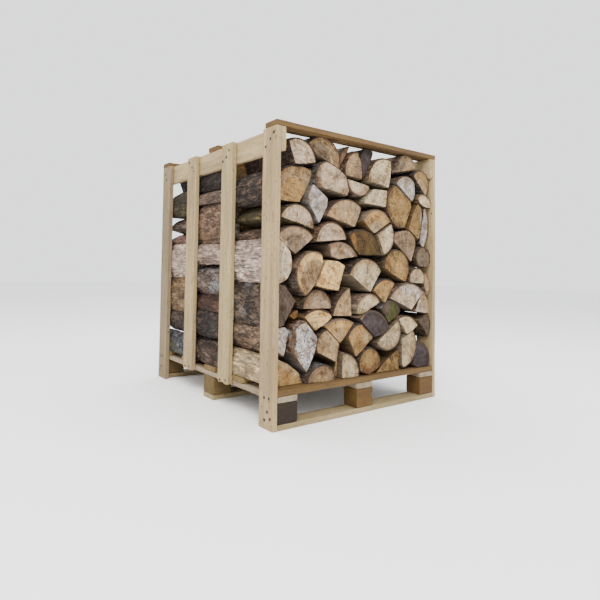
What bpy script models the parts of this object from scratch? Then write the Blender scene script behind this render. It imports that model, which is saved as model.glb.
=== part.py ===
"""A crate on a pallet foot, filled with split firewood in three rows.

Metres, +Z up. The origin is at the middle of the footprint, on the floor.
+X runs to the right across the open front, +Y runs back along the crate's sides.
"""

import math

import bmesh
import bpy
from mathutils import Vector

# Driving dimensions of the crate.
WIDTH = 0.950
DEPTH = 1.030
BOARD = 0.022
BLOCK_HEIGHT = 0.078
BLOCK_WIDTH = 0.093
EDGE_BOARD = 0.075
MIDDLE_BOARD = 0.090
DECK_BOARD = 0.095
DECK_COUNT = 5
UPRIGHT = 0.090
POST_HEIGHT = 1.120
SLAT_FOOT = 0.100
SLAT_PLACES = (-0.159, 0.175)
RAIL_HEIGHT = 0.092

# Touching pieces stand this far apart.
GAP = 0.0003

INNER = WIDTH / 2 - BOARD
FRONT = -DEPTH / 2
BACK = DEPTH / 2
STRINGER_BASE = BOARD + BLOCK_HEIGHT
DECK_BASE = STRINGER_BASE + BOARD
DECK_TOP = DECK_BASE + BOARD
RAIL_BASE = POST_HEIGHT - RAIL_HEIGHT

# Where the log ends stand, at the left and at the right side of each row.
ROW_FACES = {
    "front": (-0.465, -0.509),
    "middle": (-0.133, -0.155),
    "back": (0.195, 0.185),
}
ROW_BACKS = {
    "front": (-0.146, -0.180),
    "middle": (0.182, 0.168),
    "back": (0.508, 0.512),
}
# The middle row was stacked the other way round.
ROW_MIRRORED = {"front": False, "middle": True, "back": False}

# The ends are read from their flat faces. The logs behind are this much fuller all round.
FULLER = 0.004
# Logs of a row's stack press into each other by twice this much.
BITE = 0.0008
# One flat facet of bark for each stretch of this length.
FACET = 0.036

# The split logs of one row, in centimetres: the tone of the cut end, how far the end stands
# ahead of its row, the corners of the end seen from the front (x to the right, z up,
# counter-clockwise), and the rise of the round bark side, which runs from the last corner
# back to the first.
LOGS = (
    ("pale", 0.8, ((-39.2, 108.4), (-35.6, 99.2), (-24.9, 101.4)), 4.6),
    ("brown", 0.2, ((-29.2, 108.6), (-24.8, 104.8), (-19.5, 102.9), (-12.3, 100.3)), 7.9),
    ("brown", -2.0, ((-10.6, 102.0), (-6.0, 108.7), (-4.6, 111.4)), 2.6),
    ("tan", 0.3, ((-9.8, 98.2), (0.4, 97.7), (0.2, 104.0), (-2.2, 109.2)), 3.0),
    ("dark", -0.8, ((1.4, 98.2), (5.8, 104.7), (8.3, 110.4), (6.8, 111.4), (2.6, 111.2)), 2.0),
    ("pale", 0.6, ((2.6, 97.2), (15.8, 95.4), (17.2, 100.5), (17.8, 107.6)), 4.6),
    ("dark", -3.0, ((18.4, 101.5), (22.4, 102.8), (23.6, 109.0)), 1.5),
    ("tan", 0.0, ((21.6, 103.1), (34.2, 106.0)), 7.0),
    ("tan", 0.0, ((31.6, 103.0), (42.0, 94.0)), 7.4),
    ("white", 0.2, ((20.6, 98.2), (32.6, 90.8), (34.2, 94.0), (33.6, 99.8)), 3.0),
    ("ochre", 0.0, ((27.8, 78.4), (30.6, 84.6), (32.4, 88.0), (31.2, 90.6), (21.0, 97.2)), 9.6),
    ("ochre", -0.4, ((29.5, 77.8), (36.5, 73.4), (38.4, 77.1), (40.0, 83.5), (39.6, 88.2),
                     (37.0, 90.2)), 0.6),
    ("cream", 0.2, ((34.4, 92.6), (38.0, 89.3), (42.0, 88.6), (45.1, 88.8), (45.1, 91.0)), 3.0),
    ("white", -0.8, ((42.2, 88.2), (40.4, 88.0), (38.8, 77.2), (38.2, 72.0), (41.0, 68.6)), 2.6),
    ("gold", -0.4, ((-43.6, 85.0), (-31.4, 85.0), (-27.6, 91.4), (-25.0, 97.2), (-26.0, 98.6),
                    (-31.0, 99.4), (-36.0, 99.2)), 4.2),
    ("pink", 1.0, ((-25.5, 92.0), (-20.0, 91.2), (-9.2, 89.4), (-8.0, 91.5), (-9.6, 98.0),
                   (-19.2, 103.0)), 3.0),
    ("pink", -0.2, ((6.0, 93.6), (5.6, 95.2), (-8.4, 96.8)), 5.0),
    ("pale", 0.5, ((1.0, 87.4), (14.2, 86.7), (15.4, 94.0), (6.4, 94.0), (3.2, 91.0)), 0.4),
    ("white", 0.6, ((-29.2, 85.6), (-22.8, 76.8), (-18.6, 84.5), (-18.2, 87.6), (-26.4, 92.4)), 0.8),
    ("pink", 0.7, ((-42.6, 78.6), (-25.6, 74.8)), 7.4),
    ("tan", 0.0, ((-20.4, 80.6), (-3.2, 77.0), (1.4, 85.4)), 5.2),
    ("gold", 0.2, ((0.8, 79.6), (7.6, 74.6), (18.2, 80.6)), 5.0),
    ("pale", 0.6, ((18.2, 79.4), (9.2, 73.8), (13.4, 65.4)), 3.6),
    ("tan", -0.2, ((-44.0, 70.6), (-34.2, 64.8), (-25.2, 71.6)), 4.6),
    ("pale", 0.5, ((-25.0, 69.8), (-8.0, 71.4)), 7.6),
    ("olive", 0.0, ((-7.0, 73.4), (-1.6, 65.2), (12.4, 65.4)), 6.2),
    ("pink", -0.2, ((19.2, 75.0), (20.0, 71.8), (32.4, 63.0), (35.0, 70.0), (34.4, 77.0)), 0.9),
    ("olive", -0.4, ((34.4, 65.0), (37.0, 61.0), (43.4, 60.6), (44.9, 62.6)), 6.2),
    ("brown", -0.3, ((-17.2, 68.8), (-16.4, 64.2), (-12.0, 63.2), (-0.8, 64.4)), 3.2),
    ("birch", 0.4, ((-42.0, 52.8), (-38.3, 54.9), (-36.2, 57.9), (-35.8, 61.5), (-36.6, 65.4),
                    (-39.5, 68.4), (-42.2, 70.0)), 2.8),
    ("gold", 0.2, ((-29.2, 48.2), (-22.4, 54.6), (-19.6, 60.0), (-20.6, 65.0)), 9.4),
    ("gold", 0.0, ((-24.0, 52.2), (-18.4, 51.0), (-11.8, 50.2), (-8.4, 60.4), (-12.0, 62.2),
                   (-18.4, 62.6)), 0.6),
    ("pale", 0.6, ((-7.6, 57.0), (1.6, 51.4), (4.8, 49.4), (12.2, 58.8)), 5.8),
    ("ochre", 0.0, ((13.4, 60.2), (19.0, 57.0), (27.8, 53.6), (29.6, 57.0)), 9.6),
    ("pale", 0.3, ((29.4, 53.4), (39.8, 53.0), (40.0, 57.2)), 4.8),
    ("olive", -0.4, ((41.0, 57.8), (40.6, 51.4), (42.8, 47.4)), 3.0),
    ("gold", 0.3, ((6.6, 50.6), (14.2, 44.4), (20.8, 53.2)), 3.0),
    ("pale", 0.2, ((17.2, 46.8), (31.6, 41.0), (39.6, 49.2)), 5.2),
    ("mottled", -0.2, ((34.2, 40.0), (44.2, 39.0), (44.4, 43.6), (40.0, 49.4)), 0.4),
    ("grey", -0.3, ((-43.6, 36.4), (-39.6, 36.4), (-33.0, 46.4), (-38.0, 52.3), (-42.0, 53.2)), 1.9),
    ("grey", -0.4, ((-30.8, 43.4), (-14.8, 43.0)), 7.4),
    ("tan", 0.0, ((-15.6, 40.0), (-3.6, 39.6), (-4.8, 46.0), (-5.0, 51.2), (-7.2, 51.0)), 1.6),
    ("pale", 0.4, ((-2.8, 42.0), (-1.8, 40.4), (0.6, 40.0), (11.4, 45.0)), 5.0),
    ("moss", -0.3, ((12.6, 42.0), (17.0, 35.8), (19.4, 35.8), (25.0, 40.2)), 4.6),
    ("dark", 0.4, ((-1.6, 38.6), (3.6, 33.0), (7.6, 30.4), (14.4, 31.0), (17.0, 34.0)), 5.0),
    ("gold", 0.4, ((-30.4, 40.6), (-22.8, 33.2), (-15.8, 39.6), (-17.0, 41.4)), 2.0),
    ("lichen", 0.9, ((-35.0, 25.6), (-28.6, 18.4), (-22.4, 30.6), (-29.6, 38.6)), 4.2),
    ("pink", -0.2, ((-39.2, 25.4), (-36.5, 35.0), (-38.5, 36.6), (-42.6, 36.8)), 3.2),
    ("tan", 0.3, ((-24.0, 26.4), (-12.6, 21.0), (-11.2, 27.4)), 8.0),
    ("ochre", 0.0, ((-20.0, 36.2), (-11.0, 28.6), (-2.8, 36.6)), 2.2),
    ("gold", 0.0, ((-6.8, 31.4), (-2.2, 22.4), (7.8, 29.8)), 5.6),
    ("pale", 0.6, ((22.8, 36.4), (9.0, 27.6)), 8.2),
    ("cream", 0.4, ((22.4, 37.6), (28.4, 29.6), (35.6, 34.0)), 2.6),
    ("pale", 0.3, ((32.4, 31.4), (24.2, 28.2), (25.2, 16.4), (26.4, 15.2)), 5.2),
    ("brown", -0.4, ((43.4, 38.6), (36.4, 36.0), (43.6, 28.0)), 1.6),
    ("dark", -0.4, ((35.4, 26.2), (33.2, 22.0), (33.4, 16.0), (36.0, 14.5), (43.6, 14.5)), 4.4),
    ("gold", 0.0, ((-44.2, 14.5), (-29.6, 14.5), (-31.5, 18.6), (-36.5, 22.2), (-42.0, 24.8)), 1.6),
    ("brown", 1.5, ((-29.2, 14.5), (-14.3, 14.5)), 6.8),
    ("pale", 1.2, ((-10.8, 24.6), (-11.0, 14.5), (-1.8, 14.5)), 3.4),
    ("dark", -1.5, ((-14.9, 14.5), (-11.2, 14.5), (-11.2, 24.8)), 1.2),
    ("gold", 0.6, ((-1.2, 16.6), (4.0, 14.5), (11.4, 17.4)), 8.8),
    ("gold", -0.6, ((10.0, 14.5), (24.2, 14.5), (24.0, 23.4)), 0.6),
    ("ochre", -2.0, ((-35.0, 40.8), (-33.0, 39.2), (-30.9, 40.4), (-31.4, 42.6)), 0.3),
)

# Logs of the top course, which lie loose on their row, by their place in the list above.
LOOSE = {
    "front": (1, 2, 3, 4, 5, 6, 7, 8, 9, 10),
    "middle": (1, 2, 4, 5, 6, 8, 9),
    "back": (1, 2, 4, 5, 6, 8, 9),
}
# Thin logs that only the front row has.
FRONT_ONLY = (3, 7)

SAWN = (0.62, 0.50, 0.33)
SAWN_SHADE = (0.45, 0.32, 0.18)
BLOCK_WOOD = (0.30, 0.20, 0.11)
TONES = {
    "pale": (0.56, 0.46, 0.35),
    "white": (0.56, 0.53, 0.50),
    "cream": (0.68, 0.60, 0.46),
    "pink": (0.50, 0.40, 0.32),
    "tan": (0.45, 0.34, 0.22),
    "gold": (0.60, 0.42, 0.21),
    "ochre": (0.42, 0.28, 0.14),
    "brown": (0.30, 0.22, 0.16),
    "grey": (0.25, 0.21, 0.18),
    "dark": (0.12, 0.11, 0.11),
    "olive": (0.22, 0.18, 0.11),
    "moss": (0.20, 0.18, 0.09),
    "birch": (0.58, 0.50, 0.45),
    "lichen": (0.52, 0.52, 0.52),
    "mottled": (0.42, 0.32, 0.27),
}
STACK_WOOD = (0.42, 0.32, 0.22)


def clear_scene():
    for old in list(bpy.data.objects):
        bpy.data.objects.remove(old, do_unlink=True)


def new_collection(name):
    collection = bpy.data.collections.new(name)
    bpy.context.scene.collection.children.link(collection)
    return collection


def paint(piece, colour, roughness=0.8):
    material = bpy.data.materials.new(piece.name + " wood")
    material.use_nodes = True
    shader = material.node_tree.nodes["Principled BSDF"]
    shader.inputs["Base Color"].default_value = (*colour, 1.0)
    shader.inputs["Roughness"].default_value = roughness
    shader.inputs["Metallic"].default_value = 0.0
    piece.data.materials.append(material)


def board(name, x_range, y_range, z_range, colour=SAWN):
    """A sawn piece of timber between two x, two y and two z."""
    low = Vector((x_range[0], y_range[0], z_range[0]))
    high = Vector((x_range[1], y_range[1], z_range[1]))
    cube = bmesh.new()
    bmesh.ops.create_cube(cube, size=1.0)
    bmesh.ops.scale(cube, vec=high - low, verts=cube.verts)
    mesh = bpy.data.meshes.new(name)
    cube.to_mesh(mesh)
    cube.free()
    piece = bpy.data.objects.new(name, mesh)
    piece.location = (low + high) / 2
    CRATE.objects.link(piece)
    paint(piece, colour)
    return piece


def span(middle, size):
    return (middle - size / 2, middle + size / 2)


def layer(base):
    """The z range of a board that lies flat on what ends at base."""
    return (base + GAP, base + BOARD)


def make_foot():
    """Three skids, nine blocks and three stringers: the pallet's foot."""
    rows = {
        "front": (FRONT, FRONT + EDGE_BOARD),
        "middle": span(0.0, MIDDLE_BOARD),
        "back": (BACK - EDGE_BOARD, BACK),
    }
    lines = {
        "left": (-INNER + GAP, -INNER + BLOCK_WIDTH),
        "middle": span(0.0, BLOCK_WIDTH),
        "right": (INNER - BLOCK_WIDTH, INNER - GAP),
    }
    across = (-INNER + GAP, INNER - GAP)
    for row, y_range in rows.items():
        board("skid_" + row, across, y_range, (0.0, BOARD))
        for line, x_range in lines.items():
            block_z = (BOARD + GAP, STRINGER_BASE)
            board("block_" + row + "_" + line, x_range, y_range, block_z, BLOCK_WOOD)
    for line, x_range in lines.items():
        board("stringer_" + line, x_range, (FRONT, BACK), layer(STRINGER_BASE))


def make_deck():
    """Boards across the stringers, the outer two flush with the front and the back."""
    across = (-INNER + GAP, INNER - GAP)
    reach = (DEPTH - DECK_BOARD) / 2
    for index in range(DECK_COUNT):
        middle = -reach + 2 * reach * index / (DECK_COUNT - 1)
        name = "deck_board_" + str(index + 1)
        board(name, across, span(middle, DECK_BOARD), layer(DECK_BASE), SAWN_SHADE)


def make_sides():
    """Corner posts that reach the floor, two slats between them and a rail inside."""
    corners = {"front": (FRONT, FRONT + UPRIGHT), "back": (BACK - UPRIGHT, BACK)}
    for side, sign in (("left", -1), ("right", 1)):
        x_range = sorted((sign * INNER, sign * WIDTH / 2))
        for corner, y_range in corners.items():
            board("post_" + side + "_" + corner, x_range, y_range, (0.0, POST_HEIGHT))
        for index, middle in enumerate(SLAT_PLACES):
            name = "slat_" + side + "_" + str(index + 1)
            board(name, x_range, span(middle, UPRIGHT), (SLAT_FOOT, POST_HEIGHT))
        rail_x = sorted((sign * (INNER - BOARD), sign * (INNER - GAP)))
        board("rail_" + side, rail_x, (FRONT, BACK), (RAIL_BASE, POST_HEIGHT))


def make_top():
    """Three boards across the top: the outer two over the posts, the middle over the rails."""
    full = (-WIDTH / 2, WIDTH / 2)
    over_rails = (-INNER, INNER)
    board("top_board_front", full, (FRONT, FRONT + EDGE_BOARD), layer(POST_HEIGHT))
    board("top_board_middle", over_rails, span(0.0, MIDDLE_BOARD), layer(POST_HEIGHT))
    board("top_board_back", full, (BACK - EDGE_BOARD, BACK), layer(POST_HEIGHT))


def bark_arc(start, end, rise):
    """Points of the arc from start to end that bulges to the right by rise, ends left out."""
    chord = end - start
    half = chord.length / 2
    radius = (half * half + rise * rise) / (2 * rise)
    outward = Vector((chord.y, -chord.x)).normalized()
    centre = (start + end) / 2 - outward * (radius - rise)
    first = start - centre
    turn = 2 * math.acos(max(-1.0, min(1.0, (radius - rise) / radius)))
    steps = max(2, round(radius * turn / FACET))
    points = []
    for step in range(1, steps):
        angle = math.atan2(first.y, first.x) + turn * step / steps
        points.append(centre + radius * Vector((math.cos(angle), math.sin(angle))))
    return points


def keep_side(outline, point, normal):
    """The part of a convex outline behind the line through point with that normal."""
    kept = []
    for index, here in enumerate(outline):
        there = outline[(index + 1) % len(outline)]
        here_off = (here - point).dot(normal)
        there_off = (there - point).dot(normal)
        if here_off <= 0:
            kept.append(here)
        if here_off * there_off < 0:
            kept.append(here + (there - here) * here_off / (here_off - there_off))
    return kept


def sides(outline):
    """Each side of an outline as its first point and its outward normal."""
    for index, here in enumerate(outline):
        run = outline[(index + 1) % len(outline)] - here
        yield here, Vector((run.y, -run.x)).normalized()


def tidy(outline, least=0.0008):
    """The outline without points that lie closer than least to the one before."""
    kept = []
    for index, here in enumerate(outline):
        if (here - outline[index - 1]).length > least:
            kept.append(here)
    return kept


def moved_out(outline, distance):
    """A convex outline with every side moved outwards, or inwards if distance is negative."""
    reach = 1.0
    grown = [Vector(corner) for corner in ((-reach, 0), (reach, 0), (reach, 2), (-reach, 2))]
    for here, normal in sides(outline):
        grown = keep_side(grown, here + normal * distance, normal)
    return tidy(grown)


def settle(outlines):
    """Where two convex outlines cross, both are cut back to the line between them."""
    for first in range(len(outlines)):
        for second in range(first + 1, len(outlines)):
            shared = outlines[first]
            for here, normal in sides(outlines[second]):
                shared = keep_side(shared, here, normal)
                if len(shared) < 3:
                    break
            if len(shared) < 3:
                continue
            pairs = [(a, b) for a in shared for b in shared]
            start, end = max(pairs, key=lambda pair: (pair[0] - pair[1]).length)
            if (end - start).length < 0.001:
                continue
            normal = Vector((end.y - start.y, start.x - end.x)).normalized()
            middle = sum(outlines[first], Vector((0, 0))) / len(outlines[first])
            if (middle - start).dot(normal) > 0:
                normal = -normal
            outlines[first] = tidy(keep_side(outlines[first], start, normal))
            outlines[second] = tidy(keep_side(outlines[second], start, -normal))


def in_crate(outline):
    """The outline cut to the room between the uprights, over the deck, under the top."""
    limit = INNER - 2 * GAP
    outline = keep_side(outline, Vector((limit, 0)), Vector((1, 0)))
    outline = keep_side(outline, Vector((-limit, 0)), Vector((-1, 0)))
    outline = keep_side(outline, Vector((0, DECK_TOP + GAP)), Vector((0, -1)))
    return keep_side(outline, Vector((0, POST_HEIGHT - 3 * GAP)), Vector((0, 1)))


def log_outlines():
    """The end outline of every log in the list, in metres, none crossing another."""
    outlines = []
    for tone, ahead, corners, rise in LOGS:
        points = [Vector(corner) / 100 for corner in corners]
        points += bark_arc(points[-1], points[0], rise / 100)
        outlines.append(moved_out(points, FULLER))
    settle(outlines)
    return outlines


def log_prism(name, outline, y_range, collection):
    """One log: its end outline as a filled flat curve, drawn out from y to y."""
    curve = bpy.data.curves.new(name, "CURVE")
    curve.dimensions = "2D"
    curve.fill_mode = "BOTH"
    curve.extrude = (y_range[1] - y_range[0]) / 2
    spline = curve.splines.new("POLY")
    spline.points.add(len(outline) - 1)
    for point, corner in zip(spline.points, outline):
        point.co = (corner.x, corner.y, 0.0, 1.0)
    spline.use_cyclic_u = True
    flat = bpy.data.objects.new(name + " outline", curve)
    flat.rotation_euler = (math.radians(90), 0.0, 0.0)
    flat.location = (0.0, sum(y_range) / 2, 0.0)
    collection.objects.link(flat)
    bpy.context.view_layer.update()
    seen = flat.evaluated_get(bpy.context.evaluated_depsgraph_get())
    mesh = bpy.data.meshes.new_from_object(seen)
    mesh.name = name
    placed = flat.matrix_world.copy()
    bpy.data.objects.remove(flat, do_unlink=True)
    welded = bmesh.new()
    welded.from_mesh(mesh)
    bmesh.ops.remove_doubles(welded, verts=welded.verts, dist=0.00002)
    bmesh.ops.recalc_face_normals(welded, faces=welded.faces)
    welded.to_mesh(mesh)
    welded.free()
    piece = bpy.data.objects.new(name, mesh)
    piece.matrix_world = placed
    collection.objects.link(piece)
    return piece


def log_reach(row, outline, ahead):
    """The y range of a log, from where its row's ends stand at that log's place."""
    place = sum(point.x for point in outline) / len(outline)
    share = (place + INNER) / (2 * INNER)
    face_left, face_right = ROW_FACES[row]
    back_left, back_right = ROW_BACKS[row]
    face = face_left + (face_right - face_left) * share
    back = back_left + (back_right - back_left) * share
    if row == "front":
        return (face - ahead / 100, back)
    return (face, back)


def make_row(row):
    """One row: the stack pressed together, and its loose top logs."""
    stack = []
    for number, outline in enumerate(OUTLINES, start=1):
        if number in FRONT_ONLY and row != "front":
            continue
        tone, ahead, corners, rise = LOGS[number - 1]
        loose = number in LOOSE[row]
        outline = in_crate(moved_out(outline, -BITE - GAP if loose else BITE))
        if ROW_MIRRORED[row]:
            outline = [Vector((-point.x, point.y)) for point in reversed(outline)]
        y_range = log_reach(row, outline, ahead)
        if loose:
            log = log_prism(f"log_{row}_{number:02d}", outline, y_range, CRATE)
            paint(log, TONES[tone])
        else:
            stack.append(log_prism(f"stacked_{row}_{number:02d}", outline, y_range, CUTTERS))
    first = stack.pop(0)
    first.name = "logs_" + row + "_row"
    CUTTERS.objects.unlink(first)
    CRATE.objects.link(first)
    rest = bpy.data.collections.new("stacked_" + row)
    CUTTERS.children.link(rest)
    for log in stack:
        CUTTERS.objects.unlink(log)
        rest.objects.link(log)
        log.hide_render = True
        log.display_type = "WIRE"
    union = first.modifiers.new("pressed together", "BOOLEAN")
    union.operation = "UNION"
    union.operand_type = "COLLECTION"
    union.collection = rest
    union.solver = "EXACT"
    paint(first, STACK_WOOD)


clear_scene()
CRATE = new_collection("pallet_of_firewood")
CUTTERS = new_collection("cutters")
make_foot()
make_deck()
make_sides()
make_top()
OUTLINES = log_outlines()
for row_name in ROW_FACES:
    make_row(row_name)
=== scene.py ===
"""A crate of split firewood on its pallet foot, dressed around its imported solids."""

import math

import bpy
import numpy as np
from mathutils import Matrix, Vector


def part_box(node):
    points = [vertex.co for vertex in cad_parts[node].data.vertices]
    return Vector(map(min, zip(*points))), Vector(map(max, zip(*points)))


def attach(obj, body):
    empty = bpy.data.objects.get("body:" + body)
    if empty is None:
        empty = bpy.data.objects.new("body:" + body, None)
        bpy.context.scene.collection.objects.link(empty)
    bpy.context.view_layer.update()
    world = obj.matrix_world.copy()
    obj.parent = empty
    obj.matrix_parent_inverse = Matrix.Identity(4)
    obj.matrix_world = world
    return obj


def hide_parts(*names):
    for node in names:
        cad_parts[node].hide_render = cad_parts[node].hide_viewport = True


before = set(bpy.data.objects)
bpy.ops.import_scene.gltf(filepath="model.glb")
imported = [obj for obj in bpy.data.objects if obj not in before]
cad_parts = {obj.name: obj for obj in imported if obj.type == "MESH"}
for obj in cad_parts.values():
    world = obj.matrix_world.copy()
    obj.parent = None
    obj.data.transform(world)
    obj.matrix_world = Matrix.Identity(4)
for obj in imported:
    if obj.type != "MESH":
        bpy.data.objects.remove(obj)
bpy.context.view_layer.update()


# The eye stands to the left of the open front, level with the middle of the stack, and looks
# across the front so that the left side shows through its slats.
EYE = Vector((-1.51757, -1.91277, 0.59613))
LOOK_RIGHT, LOOK_UP, LEAN = 0.59626, 0.04434, 0.01742
LENS_IN_PIXELS, CENTRE_X, CENTRE_Y = 478.607, 253.855, 244.907

forward = Vector((
    math.sin(LOOK_RIGHT) * math.cos(LOOK_UP),
    math.cos(LOOK_RIGHT) * math.cos(LOOK_UP),
    math.sin(LOOK_UP),
))
level = Vector((math.cos(LOOK_RIGHT), -math.sin(LOOK_RIGHT), 0.0))
upright = level.cross(forward)
rightward = level * math.cos(LEAN) + upright * math.sin(LEAN)
upward = upright * math.cos(LEAN) - level * math.sin(LEAN)

lens = bpy.data.cameras.new("eye")
lens.sensor_width = 36.0
lens.lens = 36.0 * LENS_IN_PIXELS / 600
lens.shift_x = (300 - CENTRE_X) / 600
lens.shift_y = (CENTRE_Y - 300) / 600
lens.clip_start = 0.05
camera = bpy.data.objects.new("eye", lens)
turned = Matrix((rightward, upward, -forward)).transposed().to_4x4()
camera.matrix_world = Matrix.Translation(EYE) @ turned
bpy.context.scene.collection.objects.link(camera)
bpy.context.scene.camera = camera


class Wire:
    """A socket of a material, whose arithmetic is written as nodes.

    A sum, difference, product, quotient or power of two wires adds one Math node, or one Vector
    Math node where either side is a colour or a vector.
    """

    def __init__(self, tree, socket=None):
        self.tree = tree
        self.socket = socket

    def node(self, kind, settings, sockets, output=0):
        """A node of any kind: its settings first, then its sockets' values or links."""
        made = self.tree.nodes.new(kind)
        for name, value in settings.items():
            setattr(made, name, value)
        for name, value in sockets.items():
            if isinstance(value, Wire):
                self.tree.links.new(value.socket, made.inputs[name])
            else:
                made.inputs[name].default_value = value
        return Wire(self.tree, made.outputs[output])

    def is_vector(self):
        return self.socket.type in ("VECTOR", "RGBA")

    def maths(self, operation, *terms):
        """One Math or Vector Math node with the terms as its inputs, in their order."""
        if any(isinstance(term, tuple) or isinstance(term, Wire) and term.is_vector()
               for term in terms):
            terms = [(term,) * 3 if isinstance(term, (int, float)) else term for term in terms]
            kind = "ShaderNodeVectorMath"
        else:
            kind = "ShaderNodeMath"
        return self.node(kind, {"operation": operation}, dict(enumerate(terms)))

    def __add__(self, other):
        return self.maths("ADD", self, other)

    __radd__ = __add__

    def __sub__(self, other):
        return self.maths("SUBTRACT", self, other)

    def __rsub__(self, other):
        return self.maths("SUBTRACT", other, self)

    def __mul__(self, other):
        return self.maths("MULTIPLY", self, other)

    __rmul__ = __mul__

    def __truediv__(self, other):
        return self.maths("DIVIDE", self, other)

    def __pow__(self, other):
        return self.maths("POWER", self, other)

    def sine(self):
        return self.maths("SINE", self)

    def size(self):
        return self.maths("ABSOLUTE", self)

    def least(self, other):
        return self.maths("MINIMUM", self, other)

    def most(self, other):
        return self.maths("MAXIMUM", self, other)

    def carried(self, name, part="Color"):
        """What the mesh's points carry by that name: its colour, vector, alpha or number."""
        return self.node("ShaderNodeAttribute", {"attribute_name": name}, {}, part)

    def bumped(self, strength, distance):
        """This height as a relief on the surface."""
        return self.node("ShaderNodeBump", {}, {
            "Height": self, "Strength": strength, "Distance": distance})

    def vector(self, *numbers):
        """Three numbers or wires as one vector."""
        return self.node("ShaderNodeCombineXYZ", {}, dict(enumerate(numbers)))

    def step(self, low, high):
        """0 below low, 1 above high, and an even curve between them; high may be the lower."""
        return self.node("ShaderNodeMapRange", {"interpolation_type": "SMOOTHSTEP"},
                         {"Value": self, "From Min": low, "From Max": high})

    def mixed(self, other, share):
        """This colour turned into the other by the share."""
        return self.node("ShaderNodeMix", {"data_type": "RGBA"},
                         {"Factor": share, 6: self, 7: other}, 2)

    def parts(self):
        """The three numbers of a vector."""
        split = self.node("ShaderNodeSeparateXYZ", {}, {0: self})
        return [Wire(self.tree, output) for output in split.socket.node.outputs]

    def cloud(self, scale, detail=3.0, rough=0.55, warp=0.0):
        """Even noise from 0 to 1 at this place, its spots 1/scale long; scale may be a triple."""
        place, even = (self, scale) if isinstance(scale, (int, float)) else (self * scale, 1.0)
        return self.node("ShaderNodeTexNoise", {}, {
            "Vector": place, "Scale": even, "Detail": detail, "Roughness": rough,
            "Distortion": warp})


def new_material(name):
    """A material with only its shader, and a wire that its other nodes start from."""
    material = bpy.data.materials.new(name)
    material.use_nodes = True
    return material, Wire(material.node_tree)


def finished(material, sockets):
    """The material with its shader's sockets linked to wires or set to values, by name."""
    shader = material.node_tree.nodes["Principled BSDF"]
    for name, value in sockets.items():
        if isinstance(value, Wire):
            material.node_tree.links.new(value.socket, shader.inputs[name])
        else:
            shader.inputs[name].default_value = value
    return material


def colour(red, green, blue):
    """A colour from 0 to 255 as it looks in the open light here, as the amount of light it
    sends back: a little deeper and stronger than the screen's own curve makes it."""
    levels = np.array((red, green, blue)) / 255
    return (*(float(level) for level in 0.66 * levels ** 2.55), 1.0)


# Sawn crate boards: skids, blocks, stringers and deck boards of the foot, then posts, slats,
# rails and top boards. Bare softwood, rough from the saw, nailed together, ochre where it is
# fresh and straw-grey where it has dried.
BOARD_TONES = {
    "skid": (176, 160, 124),
    "block": (122, 94, 54),
    "block_front_left": (62, 52, 36),
    "block_middle_left": (132, 113, 74),
    "block_back_left": (118, 98, 64),
    "stringer": (176, 162, 138),
    "deck": (150, 128, 88),
    "deck_board_1": (130, 104, 66),
    "post": (198, 177, 137),
    "post_left_back": (156, 141, 114),
    "slat": (188, 169, 130),
    "rail": (193, 173, 136),
    "top": (124, 99, 64),
}
RANDOM_VALUES = np.random.default_rng(11).uniform(-1, 1, 65536)
CELL_PRIMES = (73856093, 19349663, 83492791)
EDGE_ROUND, BOARD_WAVE, FOOT_TEAR = 0.0016, 0.0006, 0.012


def lattice_noise(points, spot, seed=0):
    """Smooth noise from -1 to 1 at points: fixed random values stand at the corners of a
    lattice of cells of size spot, and each point takes the blend of its cell's eight corners."""
    scaled = points / np.asarray(spot, float) + 19.37 * (seed % 997)
    base = np.floor(scaled).astype(np.int64)
    part = scaled - base
    part = part * part * (3 - 2 * part)
    total = np.zeros(points.shape[:-1])
    for corner in range(8):
        ahead = np.array((corner & 1, corner >> 1 & 1, corner >> 2 & 1))
        cell = (base + ahead) * np.array(CELL_PRIMES)
        key = (cell[..., 0] ^ cell[..., 1] ^ cell[..., 2]) & 65535
        total += RANDOM_VALUES[key] * np.where(ahead, part, 1 - part).prod(-1)
    return total


def closed_grid(rings, first, last, end_strips):
    """A closed skin over rings of points from one end to the other, each end drawn to a point.

    Holds the points and, for one ring after the other, a strip of four-sided faces between
    neighbouring rings and a fan of triangles at each end, all facing out. The fans and that
    many strips at each end have the second material.
    """
    count, around = rings.shape[:2]
    points = np.concatenate((first[None], rings.reshape(-1, 3), last[None]))
    place = 1 + np.arange(count * around).reshape(count, around)
    following = np.roll(place, -1, axis=1)
    quads = np.stack((place[:-1], place[1:], following[1:], following[:-1]), -1).reshape(-1, 4)
    tip = np.zeros(around, int)
    front = np.stack((tip, place[0], following[0]), -1)
    back = np.stack((place[-1], tip + count * around + 1, following[-1]), -1)
    kinds = np.zeros((count - 1, around), int)
    kinds[:end_strips] = 1
    kinds[count - 1 - end_strips:] = 1
    return {
        "points": points, "quads": quads, "fans": np.concatenate((front, back)), "values": {},
        "quad_materials": kinds.ravel(), "fan_materials": np.full(2 * around, min(end_strips, 1)),
    }


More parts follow.
